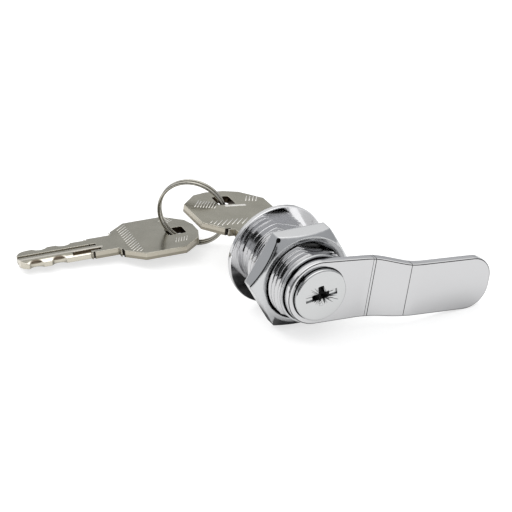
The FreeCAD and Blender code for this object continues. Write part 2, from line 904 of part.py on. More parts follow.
doc.recompute()
failed = [item.Name for item in doc.Objects if "Invalid" in item.State or "Error" in item.State]
if failed:
    raise RuntimeError(f"failed objects: {failed}")
for item in subparts:
    if item.Shape.isNull() or not item.Shape.isValid():
        raise RuntimeError(f"bad shape: {item.Label}")
print(f"roll {ROLL:.3f} degrees, ring centre {ring_centre}")
print(f"spare key at {spare_key.Placement.Base}")
os.makedirs("parts", exist_ok=True)
for item in subparts:
    item.Shape.exportStep(f"parts/{item.Label}.step")
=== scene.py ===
import json
import math

import bmesh
import bpy
from mathutils import Matrix, Vector

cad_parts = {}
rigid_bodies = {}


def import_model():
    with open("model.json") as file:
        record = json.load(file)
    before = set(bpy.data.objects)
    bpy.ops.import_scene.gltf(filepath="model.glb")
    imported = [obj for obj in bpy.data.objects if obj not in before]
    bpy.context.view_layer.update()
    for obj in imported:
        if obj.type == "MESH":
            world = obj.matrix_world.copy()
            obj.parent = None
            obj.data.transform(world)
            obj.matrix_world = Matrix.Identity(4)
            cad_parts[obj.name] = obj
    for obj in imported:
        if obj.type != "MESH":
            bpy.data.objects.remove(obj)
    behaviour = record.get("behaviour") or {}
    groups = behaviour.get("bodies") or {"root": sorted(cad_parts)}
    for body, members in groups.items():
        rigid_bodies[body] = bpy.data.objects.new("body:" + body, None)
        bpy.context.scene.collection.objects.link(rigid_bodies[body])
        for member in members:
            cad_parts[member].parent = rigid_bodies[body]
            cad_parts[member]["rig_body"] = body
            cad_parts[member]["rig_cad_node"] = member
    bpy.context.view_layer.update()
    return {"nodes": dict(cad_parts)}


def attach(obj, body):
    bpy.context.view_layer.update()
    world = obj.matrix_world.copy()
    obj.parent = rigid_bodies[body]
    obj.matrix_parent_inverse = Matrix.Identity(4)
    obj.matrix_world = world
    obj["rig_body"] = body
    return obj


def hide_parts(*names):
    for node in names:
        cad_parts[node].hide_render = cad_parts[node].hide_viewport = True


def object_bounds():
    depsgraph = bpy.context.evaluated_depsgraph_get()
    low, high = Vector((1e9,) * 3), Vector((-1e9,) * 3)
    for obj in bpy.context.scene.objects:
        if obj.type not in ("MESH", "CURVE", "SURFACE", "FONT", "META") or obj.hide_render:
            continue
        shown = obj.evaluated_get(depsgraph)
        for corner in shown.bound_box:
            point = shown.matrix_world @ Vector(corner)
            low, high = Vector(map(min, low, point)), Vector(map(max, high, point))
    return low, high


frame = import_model()
nodes = frame["nodes"]
bpy.ops.object.select_all(action="DESELECT")

# Camera: a long lens from above the cam's side, a little to the left of the lock's axis.
# Its place was measured from the thread, the flange's rim and the cam.
camera_place = (-0.1530, -0.2869, 0.1825)
camera_aim = Vector((0.3977, 0.7756, -0.4901))
camera_data = bpy.data.cameras.new("camera")
camera_data.lens = 108.9
camera_data.sensor_width = 36.0
camera_data.clip_start = 0.01
camera = bpy.data.objects.new("camera", camera_data)
bpy.context.scene.collection.objects.link(camera)
camera.location = camera_place
camera.rotation_euler = camera_aim.to_track_quat("-Z", "Y").to_euler()
bpy.context.scene.camera = camera
bpy.context.scene.view_settings.view_transform = "Standard"

# Table: a seamless sweep of white paper under a white tent. It is white to the camera and
# in the chrome, and it keeps the soft shadow under the lock.
table_width = 4.0
paper_to_camera = 0.67
paper_in_metal = 0.56
paper_shelter = 0.010


def linear(hex_colour):
    """An sRGB hex colour as linear light."""
    channels = []
    for place in (1, 3, 5):
        value = int(hex_colour[place : place + 2], 16) / 255
        channels.append(value / 12.92 if value <= 0.04045 else ((value + 0.055) / 1.055) ** 2.4)
    return (*channels, 1.0)


def add_node(tree, kind, inputs=None, **settings):
    """Adds a node with its settings. An input takes a value, or the output to link to it."""
    node = tree.nodes.new(kind)
    for name, value in settings.items():
        setattr(node, name, value)
    for name, value in (inputs or {}).items():
        if isinstance(value, bpy.types.NodeSocket):
            tree.links.new(value, node.inputs[name])
        else:
            node.inputs[name].default_value = value
    return node


bpy.ops.mesh.primitive_plane_add(size=table_width, location=(0, 0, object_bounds()[0].z))
table = bpy.context.object
table.name = "table"

# Matt white paper: light grey by the lamps alone, and lifted to white where it is seen.
# In the metal it darkens close to the object, as paper does under it.
sweep = bpy.data.materials.new("white_paper_sweep")
sweep.use_nodes = True
tree = sweep.node_tree
tree.nodes.clear()
paper = add_node(tree, "ShaderNodeBsdfDiffuse", {"Color": linear("#b4b4b4")})
rays = add_node(tree, "ShaderNodeLightPath")
to_camera = add_node(
    tree,
    "ShaderNodeMath",
    {0: rays.outputs["Is Camera Ray"], 1: paper_to_camera},
    operation="MULTIPLY",
)
near = add_node(tree, "ShaderNodeAmbientOcclusion", {"Distance": paper_shelter}, samples=8)
sheltered = add_node(
    tree,
    "ShaderNodeMath",
    {0: rays.outputs["Is Glossy Ray"], 1: near.outputs["AO"]},
    operation="MULTIPLY",
)
lift = add_node(
    tree,
    "ShaderNodeMath",
    {0: sheltered.outputs[0], 1: paper_in_metal, 2: to_camera.outputs[0]},
    operation="MULTIPLY_ADD",
)
glow = add_node(tree, "ShaderNodeEmission", {"Strength": lift.outputs[0]})
lit = add_node(tree, "ShaderNodeAddShader", {0: paper.outputs[0], 1: glow.outputs[0]})
add_node(tree, "ShaderNodeOutputMaterial", {"Surface": lit.outputs[0]})
table.data.materials.append(sweep)

# Tent: white cloth overhead and greyer near the horizon, which gives the chrome its tones.
# It leans a little to the back, and the camera sees plain white in its place.
tent_lean = 0.25
tent_strength = 1.75
horizon, zenith = ("#8f9092", 0.0), ("#ffffff", 0.94)
cloth_greys = (("#98999b", 0.37), ("#9fa0a2", 0.48), ("#cbcbcb", 0.62), ("#d1d1d1", 0.86))
world = bpy.data.worlds.new("white_tent")
bpy.context.scene.world = world
world.use_nodes = True
tree = world.node_tree
tree.nodes.clear()
place = add_node(tree, "ShaderNodeTexCoord")
way = add_node(tree, "ShaderNodeSeparateXYZ", {"Vector": place.outputs["Generated"]})
raised = add_node(
    tree,
    "ShaderNodeMath",
    {0: way.outputs["Y"], 1: tent_lean, 2: way.outputs["Z"]},
    operation="MULTIPLY_ADD",
)
cloth = add_node(tree, "ShaderNodeValToRGB", {"Fac": raised.outputs[0]})
for element, (grey, level) in zip(cloth.color_ramp.elements, (horizon, zenith)):
    element.position = level
    element.color = linear(grey)
for grey, level in cloth_greys:
    cloth.color_ramp.elements.new(level).color = linear(grey)
rays = add_node(tree, "ShaderNodeLightPath")
tent = add_node(
    tree, "ShaderNodeBackground", {"Color": cloth.outputs["Color"], "Strength": tent_strength}
)
white = add_node(tree, "ShaderNodeBackground", {"Color": linear("#ffffff"), "Strength": 1.0})
mix = add_node(
    tree,
    "ShaderNodeMixShader",
    {"Fac": rays.outputs["Is Camera Ray"], 1: tent.outputs[0], 2: white.outputs[0]},
)
add_node(tree, "ShaderNodeOutputWorld", {"Surface": mix.outputs[0]})

# Softbox: a rectangular lamp behind the tent's cloth on the left, which gives the soft
# shadow. The metal doesn't mirror its shape.
softbox_data = bpy.data.lights.new("softbox_left", "AREA")
softbox_data.shape = "RECTANGLE"
softbox_data.size = 0.20
softbox_data.size_y = 0.30
softbox_data.energy = 0.9
softbox = bpy.data.objects.new("softbox_left", softbox_data)
bpy.context.scene.collection.objects.link(softbox)
softbox.location = (-0.30, 0.25, 0.40)
softbox.rotation_euler = (-softbox.location).to_track_quat("-Z", "Y").to_euler()
softbox.visible_glossy = False

# Cards: felt on board that only the metal sees. Two black ones draw the chrome's dark
# streaks, and a grey one under the lock is painted shade: it stands for the shade between
# the lock and the table.


def felt_card(name, place, aim, size, grey):
    """A card of matt felt that faces a point and shows only in the metal."""
    bpy.ops.mesh.primitive_plane_add(size=1.0, location=place)
    card = bpy.context.object
    card.name = name
    card.rotation_euler = (Vector(aim) - Vector(place)).to_track_quat("Z", "Y").to_euler()
    card.scale = (*size, 1.0)
    bpy.ops.object.transform_apply(location=True, rotation=True, scale=True)
    card.visible_camera = False
    card.visible_diffuse = False
    card.visible_shadow = False
    felt = bpy.data.materials.new(f"felt_{name}")
    felt.use_nodes = True
    shader = felt.node_tree.nodes["Principled BSDF"]
    shader.inputs["Base Color"].default_value = linear(grey)
    shader.inputs["Roughness"].default_value = 1.0
    card.data.materials.append(felt)


felt_card(
    "card_camera",
    place=(-0.197, -0.371, 0.135),
    aim=(0, 0, 0.135),
    size=(0.13, 0.29),
    grey="#0a0a0a",
)
felt_card(
    "card_left",
    place=(-0.085, -0.012, 0.040),
    aim=(0, -0.012, 0.040),
    size=(0.08, 0.10),
    grey="#0a0a0a",
)
# Painted shade: a grey card under the lock that only the chrome mirrors.
felt_card(
    "shadow_card_below",
    place=(-0.002, -0.009, -0.0126),
    aim=(-0.002, -0.009, 0.1),
    size=(0.012, 0.015),
    grey="#6c6c6c",
)

# Housing: a zinc casting, turned and threaded, with two flats milled along the thread. It
# is buffed and chrome plated, so it mirrors the room, and painted shade darkens the thread's
# roots. The lock stands on its flange and the cam's tip, so it is rolled a little about its
# axis.
lock_roll = math.radians(8.563)
level_lock = (0, -lock_roll, 0)
rim_rounding, rim_inside = 0.00022, 0.0120
crest_rounding, crest_inside, crest_outside = 0.00006, 0.0092, 0.0098
thread_start = -0.002
seat_depth = 0.00015


def welded_copy(node, name, body):
    """A node's shape as one welded piece with its flat faces whole, on the same body."""
    piece = nodes[node].copy()
    piece.data = nodes[node].data.copy()
    piece.name = piece.data.name = name
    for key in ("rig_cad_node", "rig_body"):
        if key in piece:
            del piece[key]
    bpy.context.scene.collection.objects.link(piece)
    piece.parent = None
    piece.matrix_world = Matrix.Identity(4)
    piece.data.materials.clear()
    bpy.ops.object.select_all(action="DESELECT")
    piece.select_set(True)
    bpy.context.view_layer.objects.active = piece
    if piece.data.has_custom_normals:
        bpy.ops.mesh.customdata_custom_splitnormals_clear()
    bpy.ops.object.mode_set(mode="EDIT")
    bpy.ops.mesh.select_all(action="SELECT")
    bpy.ops.mesh.remove_doubles(threshold=0.000001)
    bpy.ops.mesh.dissolve_limited(angle_limit=math.radians(0.6))
    bpy.ops.object.mode_set(mode="OBJECT")
    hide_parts(node)
    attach(piece, body)
    return piece


def axis_radius(point):
    """The distance of a point from the lock's axis."""
    return math.hypot(point.x, point.z)


def round_over(piece, radius, chosen, segments=3):
    """Rounds the sharp edges of a piece whose middles pass a test."""
    bpy.ops.object.select_all(action="DESELECT")
    piece.select_set(True)
    bpy.context.view_layer.objects.active = piece
    bpy.ops.object.mode_set(mode="EDIT")
    bpy.ops.mesh.select_mode(type="EDGE")
    bpy.ops.mesh.select_all(action="DESELECT")
    shape = bmesh.from_edit_mesh(piece.data)
    for edge in shape.edges:
        sharp = edge.is_manifold and edge.calc_face_angle(0.0) > math.radians(30)
        middle = (edge.verts[0].co + edge.verts[1].co) / 2
        edge.select_set(bool(sharp and chosen(middle)))
    bmesh.update_edit_mesh(piece.data)
    bpy.ops.mesh.bevel(offset=radius, segments=segments, affect="EDGES", clamp_overlap=True)
    bpy.ops.object.mode_set(mode="OBJECT")


def shade(piece, material, angle=32):
    """The material, and smooth shading up to an angle, with the flat faces kept flat."""
    bpy.ops.object.select_all(action="DESELECT")
    piece.select_set(True)
    bpy.context.view_layer.objects.active = piece
    bpy.ops.object.shade_smooth_by_angle(angle=math.radians(angle))
    modifier = piece.modifiers.new("flat faces", "WEIGHTED_NORMAL")
    modifier.mode = "FACE_AREA"
    modifier.weight = 100
    modifier.keep_sharp = True
    bpy.ops.object.modifier_apply(modifier=modifier.name)
    piece.data.materials.append(material)


def chrome_plate(name, tint, gloss, lines, stretch, recess_shade, edge=0.0001):
    """Buffed chrome plate: a near mirror with faint lines of the polish, and recesses darkened with
    painted shade.

    The polish's lines are a few microns apart, too fine to show, so they are drawn with
    the given number to the metre, about 0.2 mm apart, and stretched the way the wheel went.
    The buffing leaves slow waves 5 mm long, and the plate dulls in smears 2.4 mm wide.
    """
    metal = bpy.data.materials.new(name)
    metal.use_nodes = True
    tree = metal.node_tree
    shader = tree.nodes["Principled BSDF"]
    shader.inputs["Metallic"].default_value = 1.0
    place = add_node(tree, "ShaderNodeTexCoord").outputs["Object"]
    lined = add_node(
        tree,
        "ShaderNodeMapping",
        {"Vector": place, "Rotation": (0, lock_roll, 0), "Scale": stretch},
    )
    polish = add_node(
        tree,
        "ShaderNodeTexNoise",
        {"Vector": lined.outputs[0], "Scale": lines, "Detail": 4.0},
    )
    waves = add_node(
        tree, "ShaderNodeTexNoise", {"Vector": place, "Scale": 190.0, "Detail": 1.0}
    )
    smears = add_node(
        tree, "ShaderNodeTexNoise", {"Vector": place, "Scale": 420.0, "Detail": 5.0}
    )
    dulled = add_node(
        tree,
        "ShaderNodeMapRange",
        {
            "Value": smears.outputs["Fac"],
            "From Min": 0.35,
            "From Max": 0.75,
            "To Min": gloss,
            "To Max": gloss + 0.06,
        },
    )
    tree.links.new(dulled.outputs[0], shader.inputs["Roughness"])
    # Painted shade: the tint turns near black where the surface is sheltered within 0.8 mm.
    shelter = add_node(tree, "ShaderNodeAmbientOcclusion", {"Distance": 0.0008}, samples=8)
    depth = add_node(
        tree,
        "ShaderNodeMapRange",
        {
            "Value": shelter.outputs["AO"],
            "From Min": 0.25,
            "From Max": 0.75,
            "To Min": recess_shade,
            "To Max": 0.0,
        },
    )
    colour = add_node(
        tree,
        "ShaderNodeMix",
        {"Factor": depth.outputs[0], 6: linear(tint), 7: linear("#161616")},
        data_type="RGBA",
    )
    tree.links.new(colour.outputs[2], shader.inputs["Base Color"])
    rounded = add_node(tree, "ShaderNodeBevel", {"Radius": edge}, samples=6)
    slow = add_node(
        tree,
        "ShaderNodeBump",
        {
            "Height": waves.outputs["Fac"],
            "Normal": rounded.outputs[0],
            "Strength": 0.35,
            "Distance": 0.00003,
        },
    )
    fine = add_node(
        tree,
        "ShaderNodeBump",
        {
            "Height": polish.outputs["Fac"],
            "Normal": slow.outputs[0],
            "Strength": 0.12,
            "Distance": 0.000004,
        },
    )
    tree.links.new(fine.outputs[0], shader.inputs["Normal"])
    return metal


def inside(tree, point, ranges, mask=1.0):
    """A mask where each measure of a point lies in its range, times another mask."""
    measures = add_node(tree, "ShaderNodeSeparateXYZ", {"Vector": point})
    for axis, (low, high) in ranges.items():
        test = add_node(
            tree,
            "ShaderNodeMath",
            {0: measures.outputs[axis], 1: (low + high) / 2, 2: (high - low) / 2},
            operation="COMPARE",
        )
        both = add_node(tree, "ShaderNodeMath", {0: mask, 1: test.outputs[0]}, operation="MULTIPLY")
        mask = both.outputs[0]
    return mask


def recolour(metal, mask, grey, rough):
    """Takes a metal to another grey and roughness where a mask says so."""
    tree = metal.node_tree
    shader = tree.nodes["Principled BSDF"]
    before = shader.inputs["Base Color"].links[0].from_socket
    tinted = add_node(
        tree, "ShaderNodeMix", {0: mask, 6: before, 7: linear(grey)}, data_type="RGBA"
    )
    tree.links.new(tinted.outputs[2], shader.inputs["Base Color"])
    before = shader.inputs["Roughness"].links[0].from_socket
    dulled = add_node(tree, "ShaderNodeMix", {0: mask, 2: before, 3: rough}, data_type="FLOAT")
    tree.links.new(dulled.outputs[0], shader.inputs["Roughness"])


def off_axis(tree, point):
    """The length of a point's or a normal's part across the lock's axis."""
    across = add_node(tree, "ShaderNodeVectorMath", {0: point, 1: (1, 0, 1)}, operation="MULTIPLY")
    distance = add_node(tree, "ShaderNodeVectorMath", {0: across.outputs[0]}, operation="LENGTH")
    return distance.outputs["Value"]


def painted_shade_band(metal, along, radius, rag, below=0.1):
    """Painted black shade between two places along the axis and two radii, up to a height.

    Its edge is ragged by a share of a grain 0.7 mm wide.
    """
    tree = metal.node_tree
    place = add_node(tree, "ShaderNodeTexCoord").outputs["Object"]
    torn = add_node(
        tree, "ShaderNodeTexNoise", {"Vector": place, "Scale": 1400.0, "Detail": 3.0}
    )
    shift = add_node(
        tree,
        "ShaderNodeVectorMath",
        {0: torn.outputs["Color"], 1: (0.5, 0.5, 0.5)},
        operation="SUBTRACT",
    )
    moved = add_node(
        tree,
        "ShaderNodeVectorMath",
        {0: shift.outputs[0], 1: (rag, rag, rag), 2: place},
        operation="MULTIPLY_ADD",
    ).outputs[0]
    measures = add_node(tree, "ShaderNodeSeparateXYZ", {"Vector": moved})
    lathe_place = add_node(
        tree,
        "ShaderNodeCombineXYZ",
        {"X": off_axis(tree, moved), "Y": measures.outputs["Y"], "Z": measures.outputs["Z"]},
    )
    band = {"X": radius, "Y": along, "Z": (-0.1, below)}
    recolour(metal, inside(tree, lathe_place.outputs[0], band), "#141414", 0.5)


housing = welded_copy("housing", "housing_plated", "housing")
round_over(housing, rim_rounding, lambda point: axis_radius(point) > rim_inside)
round_over(
    housing,
    crest_rounding,
    lambda point: crest_inside < axis_radius(point) < crest_outside and point.y < thread_start,
    segments=2,
)
# Chrome over buffed zinc: a near mirror, with turning lines round the axis.
housing_chrome = chrome_plate(
    "bright_chrome_on_zinc",
    tint="#cbcbcc",
    gloss=0.07,
    lines=5200.0,
    stretch=(1, 0.05, 1),
    recess_shade=0.75,
    edge=0.00020,
)
# Painted shade: the thread inside the nut is painted black.
painted_shade_band(housing_chrome, along=(-0.0120, -0.0088), radius=(0.0, 0.0096), rag=0.0001)
# The seat is faced on a lathe. A painted highlight lightens its upper part, and painted shade darkens
# its lower part.
tree = housing_chrome.node_tree
place = add_node(tree, "ShaderNodeTexCoord").outputs["Object"]
height = add_node(tree, "ShaderNodeSeparateXYZ", {"Vector": place}).outputs["Z"]
for start, end, grey, rough in (
    (-0.001, 0.003, "#f4f4f5", 0.08),
    (-0.002, -0.006, "#98989a", 0.12),
):
    part = add_node(tree, "ShaderNodeMapRange", {"Value": height, "From Min": start, "From Max": end})
    seat_highlight_and_shade = inside(tree, place, {"Y": (-seat_depth, seat_depth)}, part.outputs[0])
    recolour(housing_chrome, seat_highlight_and_shade, grey, rough)
shade(housing, housing_chrome)

# Hex nut: pressed steel with turned chamfers and a countersunk mouth, barrel plated to the
# same bright chrome. It is run up the thread by hand before the cam goes on.
corner_rounding, bore_inside = 0.00028, 0.0099
nut_front, nut_face_radius, chamfer_slope = -0.0135, 0.0112, 0.6926
nut_back_start, nut_flat_start = -0.0089, -0.0064
painted_line_width, painted_line_foot = 0.00042, -0.0005
flat_lean = (-0.25, 0.25)
pit_place, pit_radius = (-0.00643, -0.01212, 0.01150), 0.00062


def riding_normal(tree, turn):
    """The surface's normal in the piece's own frame, turned, so that it rides with poses."""
    surface = add_node(tree, "ShaderNodeNewGeometry")
    own = add_node(
        tree,
        "ShaderNodeVectorTransform",
        {"Vector": surface.outputs["Normal"]},
        vector_type="NORMAL",
        convert_from="WORLD",
        convert_to="OBJECT",
    )
    turned = add_node(
        tree,
        "ShaderNodeMapping",
        {"Vector": own.outputs[0], "Rotation": turn},
        vector_type="VECTOR",
    )
    return turned.outputs[0]


nut = welded_copy("hex_nut", "nut_plated", "nut")
round_over(nut, corner_rounding, lambda point: axis_radius(point) > bore_inside)
# Chrome over pressed steel: a mirror with soft corners, and lines up and down its flats.
nut_chrome = chrome_plate(
    "bright_chrome_on_pressed_steel",
    tint="#c9cacb",
    gloss=0.09,
    lines=3800.0,
    stretch=(1, 1, 0.08),
    recess_shade=0.6,
    edge=0.00060,
)
# Painted shade: the nut's mouth is painted black, up to 4 mm above the axis.
painted_shade_band(nut_chrome, along=(-0.0134, -0.0110), radius=(0.0, 0.01035), rag=0.00015, below=0.004)
# A pit at the upper left corner holds black dirt.
tree = nut_chrome.node_tree
place = add_node(tree, "ShaderNodeTexCoord").outputs["Object"]
away = add_node(tree, "ShaderNodeVectorMath", {0: place, 1: pit_place}, operation="DISTANCE")
pit = add_node(
    tree, "ShaderNodeMath", {0: away.outputs["Value"], 1: pit_radius}, operation="LESS_THAN"
)
recolour(nut_chrome, pit.outputs[0], "#101010", 0.5)
# A dark line is painted on the left flat, along the edge where the chamfer cuts it: a painted
# reflection of the dark.
measures = add_node(tree, "ShaderNodeSeparateXYZ", {"Vector": place})
before_cone = add_node(
    tree,
    "ShaderNodeMath",
    {0: off_axis(tree, place), 1: -chamfer_slope, 2: measures.outputs["Y"]},
    operation="MULTIPLY_ADD",
)
flat_place = add_node(
    tree,
    "ShaderNodeCombineXYZ",
    {"X": measures.outputs["X"], "Y": before_cone.outputs[0], "Z": measures.outputs["Z"]},
)
line_end = nut_front - nut_face_radius * chamfer_slope + painted_line_width
on_flat = inside(tree, riding_normal(tree, (0, 0, 0)), {"Y": flat_lean})
painted_edge_line = inside(
    tree,
    flat_place.outputs[0],
    {"X": (-0.1, nut_flat_start), "Y": (-0.1, line_end), "Z": (painted_line_foot, 0.1)},
    on_flat,
)
recolour(nut_chrome, painted_edge_line, "#232323", 0.3)
# The nut's back is painted brighter than the plate: a painted highlight, which the flange's seat
# mirrors.
recolour(nut_chrome, inside(tree, place, {"Y": (nut_back_start, 0.0)}), "#f4f4f5", 0.08)
shade(nut, nut_chrome)

# Plug: a zinc barrel with the keyway and six wafer slots. Its head is flush in the flange,
# faced flat and plated with the housing.
head_rounding, head_inside, head_start = 0.00010, 0.0062, 0.0010
plug = welded_copy("plug", "plug_plated", "core")
round_over(
    plug,
    head_rounding,
    lambda point: axis_radius(point) > head_inside and point.y > head_start,
    segments=2,
)
# Chrome over faced zinc: a mirror a little duller than the flange, from the key's rubbing.
plug_chrome = chrome_plate(
    "bright_chrome_on_plug",
    tint="#c8c8c9",
    gloss=0.10,
    lines=5200.0,
    stretch=(1, 0.05, 1),
    recess_shade=0.7,
)
shade(plug, plug_chrome)

# Wafers: six brass plates stamped from strip, each with a window for the blade. Each
# slides in its slot in the plug and keeps the strip's look.
wafer_count = 6
# Rolled brass: satin yellow, with lines along the strip. Real ones are finer than a tenth
# of a millimetre and are drawn 0.25 mm apart, stretched 20 times.
brass = bpy.data.materials.new("stamped_wafer_brass")
brass.use_nodes = True
tree = brass.node_tree
shader = tree.nodes["Principled BSDF"]
shader.inputs["Metallic"].default_value = 1.0
place = add_node(tree, "ShaderNodeTexCoord").outputs["Object"]
rolled = add_node(tree, "ShaderNodeMapping", {"Vector": place, "Scale": (1, 1, 0.05)})
strip = add_node(
    tree,
    "ShaderNodeTexNoise",
    {"Vector": rolled.outputs[0], "Scale": 4000.0, "Detail": 3.0},
)
tone = add_node(tree, "ShaderNodeValToRGB", {"Fac": strip.outputs["Fac"]})
tone.color_ramp.elements[0].color = linear("#b3924f")
tone.color_ramp.elements[1].color = linear("#d8bb78")
tree.links.new(tone.outputs["Color"], shader.inputs["Base Color"])
satin = add_node(
    tree,
    "ShaderNodeMapRange",
    {"Value": strip.outputs["Fac"], "To Min": 0.24, "To Max": 0.4},
)
tree.links.new(satin.outputs[0], shader.inputs["Roughness"])
for number in range(1, wafer_count + 1):
    wafer = nodes[f"wafer_{number}"]
    wafer.data.materials.clear()
    wafer.data.materials.append(brass)

# Wafer springs: hard drawn steel wire, coiled to 0.9 mm across, one under each wafer. The
# turns are drawn as bands along the tube that stands for each coil.

# Drawn wire: a painted highlight on each turn and painted shade between, with the bands
# 0.6 mm apart, twice the real step, so that they show.
spring_wire = bpy.data.materials.new("coiled_spring_wire")
spring_wire.use_nodes = True
tree = spring_wire.node_tree
shader = tree.nodes["Principled BSDF"]
shader.inputs["Metallic"].default_value = 1.0
shader.inputs["Roughness"].default_value = 0.3
place = add_node(tree, "ShaderNodeTexCoord").outputs["Object"]
turns = add_node(
    tree,
    "ShaderNodeTexWave",
    {"Vector": place, "Scale": 530.0},
    wave_type="BANDS",
    bands_direction="X",
)
tone = add_node(tree, "ShaderNodeValToRGB", {"Fac": turns.outputs["Fac"]})
tone.color_ramp.elements[0].color = linear("#4c4d4f")
tone.color_ramp.elements[1].color = linear("#b9bbbd")
tree.links.new(tone.outputs["Color"], shader.inputs["Base Color"])
coil = add_node(
    tree,
    "ShaderNodeBump",
    {"Height": turns.outputs["Fac"], "Strength": 0.9, "Distance": 0.00012},
)
tree.links.new(coil.outputs[0], shader.inputs["Normal"])
for number in range(1, wafer_count + 1):
    spring = nodes[f"wafer_spring_{number}"]
    spring.data.materials.clear()
    spring.data.materials.append(spring_wire)

# Stop washer: punched steel strip 0.8 mm thick, with one ear turned down that runs in the
# housing's notch. The punch leaves one edge rounded and the plating covers it all.
punch_rounding, square_outside = 0.00018, 0.0062
washer = welded_copy("stop_washer", "washer_plated", "core")
round_over(washer, punch_rounding, lambda point: axis_radius(point) > square_outside)
# Chrome over punched steel: duller than the cam, with lines one way across the strip.
washer_chrome = chrome_plate(
    "bright_plate_on_punched_steel",
    tint="#c3c4c5",
    gloss=0.10,
    lines=4200.0,
    stretch=(0.1, 1, 1),
    recess_shade=0.6,
)
# Painted shade: the washer's face under the cam is painted black.
painted_shade_band(washer_chrome, along=(-0.0184, -0.01815), radius=(0.0, 0.0084), rag=0.00012)
shade(washer, washer_chrome)

# Cam: a 2.1 mm steel strip blanked, cranked in a press and tumbled, which rounds its rim,
# then bright plated. Its square hole sits on the plug's tail under the screw.
cam_rounding = 0.00035
crank = (0.0102, 0.0262)
crease_shade_lines = ((0.01350, 0.00012), (0.01412, 0.00018), (0.02220, 0.00016))
dark_reflection_lean = (0.13, 0.67)
cam = welded_copy("cam", "cam_plated", "core")
round_over(cam, cam_rounding, lambda point: axis_radius(point) > square_outside)
# Chrome over tumbled steel: the brightest mirror of the lock, with lines along the arm.
cam_chrome = chrome_plate(
    "bright_chrome_on_tumbled_steel",
    tint="#cdcdce",
    gloss=0.06,
    lines=3600.0,
    stretch=(0.04, 1, 1),
    recess_shade=0.85,
)
tree = cam_chrome.node_tree
place = add_node(tree, "ShaderNodeTexCoord").outputs["Object"]
level = add_node(tree, "ShaderNodeMapping", {"Vector": place, "Rotation": level_lock}).outputs[0]
for crease, width in crease_shade_lines:
    # Painted shade lies in the crank's bends as dark lines, drawn 0.15 mm wide.
    line = inside(tree, level, {"X": (crease - width / 2, crease + width / 2)})
    recolour(cam_chrome, line, "#4a4a4a", 0.4)
# Painted shade: a dark ring on the cam's face round the screw's head.
painted_shade_band(cam_chrome, along=(-0.0208, -0.0199), radius=(0.0062, 0.00684), rag=0.00003)
# Where the tumbled rim turns into a face, a dark line is painted: a painted reflection of the
# room's dark end. Along the crank, which slopes by itself, only the lean across the arm counts.
lean = add_node(tree, "ShaderNodeSeparateXYZ", {"Vector": riding_normal(tree, level_lock)})
off_crank = add_node(
    tree, "ShaderNodeMath", {0: 1.0, 1: inside(tree, level, {"X": crank})}, operation="SUBTRACT"
)
endways = add_node(
    tree,
    "ShaderNodeMath",
    {0: lean.outputs["X"], 1: off_crank.outputs[0]},
    operation="MULTIPLY",
)
sideways = add_node(
    tree, "ShaderNodeCombineXYZ", {"X": endways.outputs[0], "Z": lean.outputs["Z"]}
)
rim = add_node(tree, "ShaderNodeCombineXYZ", {"X": off_axis(tree, sideways.outputs[0])})
recolour(cam_chrome, inside(tree, rim.outputs[0], {"X": dark_reflection_lean}), "#4a4a4a", 0.2)
shade(cam, cam_chrome)

# Cam screw: a cold headed steel screw, nickel chrome plated, turned into the plug's tail.
# The slot and cross were struck by a punch, so their walls are rough, and painted shade darkens them.
recess_rounding, recess_start, recess_radius = 0.00012, -0.0214, 0.0055
slot_turn = (0, math.radians(-21.563), 0)
burr_least, burr_step, burr_along_slot = 0.00125, 0.0012, 0.0024
screw = welded_copy("cam_screw", "screw_plated", "core")
round_over(
    screw,
    recess_rounding,
    lambda point: point.y < recess_start and axis_radius(point) < recess_radius,
    segments=2,
)
# Chrome over headed steel: a mirror on the head, with black painted shade in the recess and under the
# rim.
screw_chrome = chrome_plate(
    "bright_chrome_on_headed_steel",
    tint="#cbcccc",
    gloss=0.07,
    lines=4200.0,
    stretch=(1, 1, 1),
    recess_shade=0.95,
)
# Painted shade: a black ring under the head's rim, and black in the middle of the recess.
painted_shade_band(screw_chrome, along=(-0.0207, -0.0203), radius=(0.0060, 0.0070), rag=0.0001)
painted_shade_band(screw_chrome, along=(-0.02150, -0.0190), radius=(0.0, 0.0018), rag=0.0006)
# The driver tore a burr out of the cross. Its tears point outwards and reach farthest
# along the slot.
tree = screw_chrome.node_tree
place = add_node(tree, "ShaderNodeTexCoord").outputs["Object"]
across = add_node(
    tree, "ShaderNodeMapping", {"Vector": place, "Rotation": slot_turn, "Scale": (1, 0, 1)}
).outputs[0]
heading = add_node(tree, "ShaderNodeVectorMath", {0: across}, operation="NORMALIZE").outputs[0]
spikes = add_node(tree, "ShaderNodeTexNoise", {"Vector": heading, "Scale": 11.0, "Detail": 3.0})
sharp = add_node(
    tree,
    "ShaderNodeMapRange",
    {"Value": spikes.outputs["Fac"], "From Min": 0.46, "From Max": 0.62},
)
slot_way = add_node(tree, "ShaderNodeSeparateXYZ", {"Vector": heading}).outputs["X"]
square = add_node(tree, "ShaderNodeMath", {0: slot_way, 1: slot_way}, operation="MULTIPLY")
along_slot = add_node(tree, "ShaderNodeMath", {0: square.outputs[0], 1: 4.0}, operation="POWER")
reach = add_node(
    tree,
    "ShaderNodeMath",
    {0: along_slot.outputs[0], 1: burr_along_slot, 2: burr_step},
    operation="MULTIPLY_ADD",
)
tears = add_node(
    tree,
    "ShaderNodeMath",
    {0: reach.outputs[0], 1: sharp.outputs[0], 2: burr_least},
    operation="MULTIPLY_ADD",
)
burr = add_node(
    tree,
    "ShaderNodeMath",
    {0: off_axis(tree, across), 1: tears.outputs[0]},
    operation="LESS_THAN",
)
recolour(screw_chrome, burr.outputs[0], "#454545", 0.45)
shade(screw, screw_chrome)

